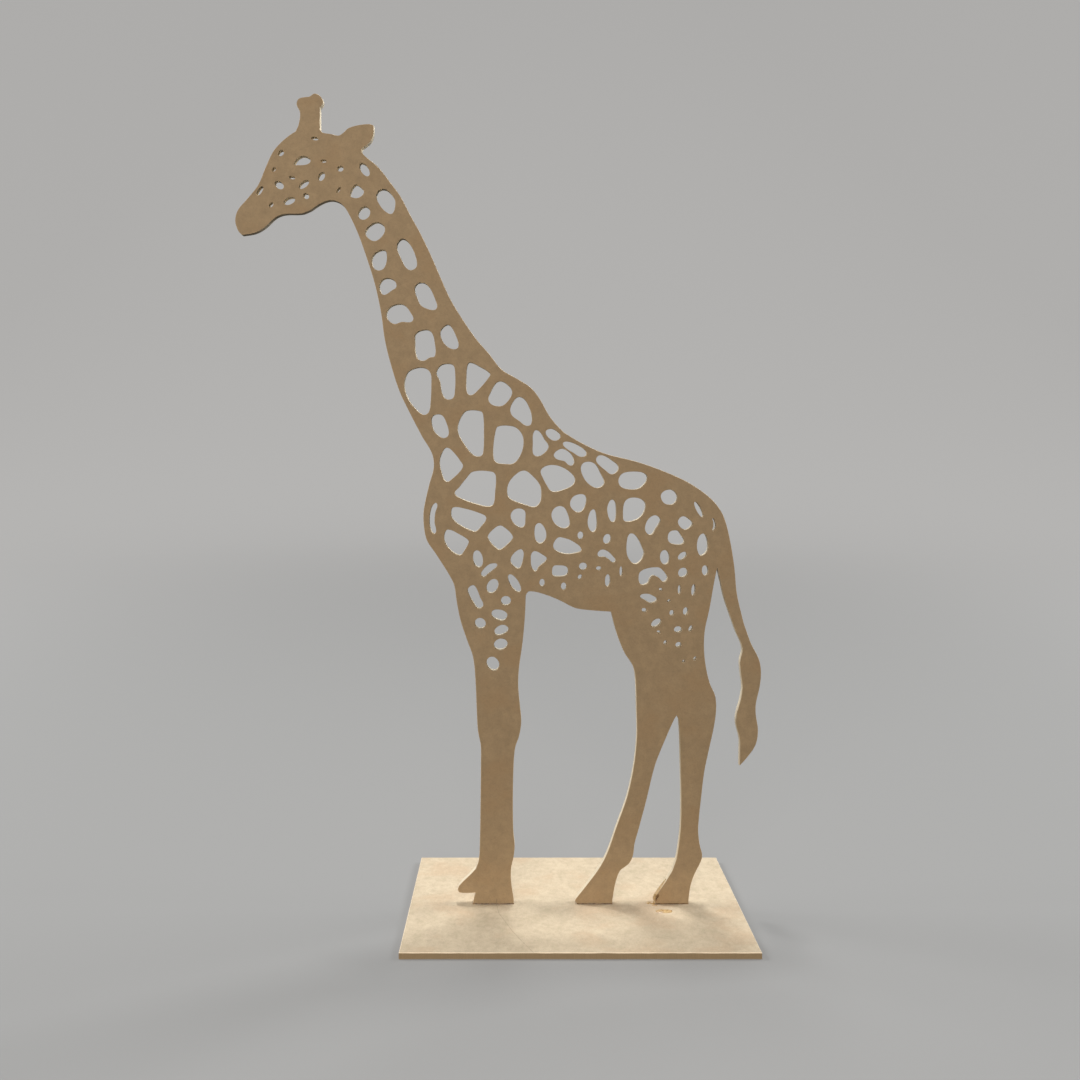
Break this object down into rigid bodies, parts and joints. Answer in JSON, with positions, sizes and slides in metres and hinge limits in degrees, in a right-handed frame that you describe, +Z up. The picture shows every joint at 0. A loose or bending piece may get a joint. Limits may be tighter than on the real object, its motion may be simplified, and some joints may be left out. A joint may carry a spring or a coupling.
{
  "type": "giraffe cut-out statue",
  "caption": "Flat giraffe silhouette fretted from a thin fibreboard sheet, its coat pierced right through, glued upright on a rectangular base board as a tabletop ornament.",
  "frame": {"origin": "centre of the base board's underside", "axes": "+Z up, from the base to the horns; +X along the sheet, towards the tail; +Y through the sheet, away from the side it is usually seen from"},
  "size_m": [0.263, 0.086, 0.4083],
  "materials": {
    "panel_board": "raw medium-density fibreboard, matt, with fine fibre fleck",
    "base_board": "raw medium-density fibreboard, matt, with fine fibre fleck",
    "glue": "dried clear amber glue, glossy"
  },
  "bodies": {
    "root": {"giraffe_panel": "panel_board", "base_board": "base_board", "glue_front_hoof": "glue", "glue_middle_hoof": "glue", "glue_rear_hoof": "glue", "glue_drop": "glue"}
  },
  "joints": []
}
